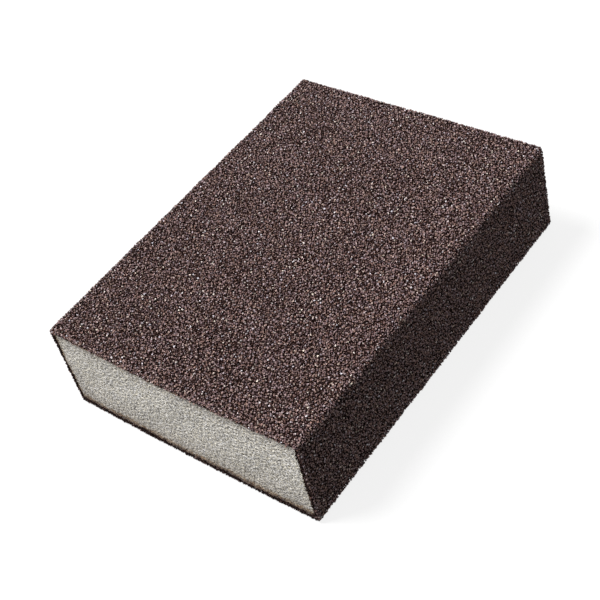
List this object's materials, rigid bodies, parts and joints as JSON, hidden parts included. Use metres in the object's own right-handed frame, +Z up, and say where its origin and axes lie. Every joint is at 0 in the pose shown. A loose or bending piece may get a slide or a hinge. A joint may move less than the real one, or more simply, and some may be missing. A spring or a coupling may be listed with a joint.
{
  "type": "sanding block",
  "caption": "Rectangular foam sanding block with rounded long edges, coarse brown abrasive bonded to all long faces and bare cut foam at both ends.",
  "frame": {"origin": "centre of the face the block rests on, at the bottom of the bounding box", "axes": "+X across the block's width, +Y along its length towards one bare foam end, +Z up through its height"},
  "size_m": [0.07, 0.097, 0.025],
  "materials": {
    "foam": "matte",
    "resin": "satin",
    "grit": "matte"
  },
  "bodies": {
    "root": {"foam_core": "foam", "make_coat_top": "resin", "make_coat_right": "resin", "make_coat_bottom": "resin", "make_coat_left": "resin", "grit_top": "grit", "grit_right": "grit", "grit_bottom": "grit", "grit_left": "grit"}
  },
  "joints": []
}
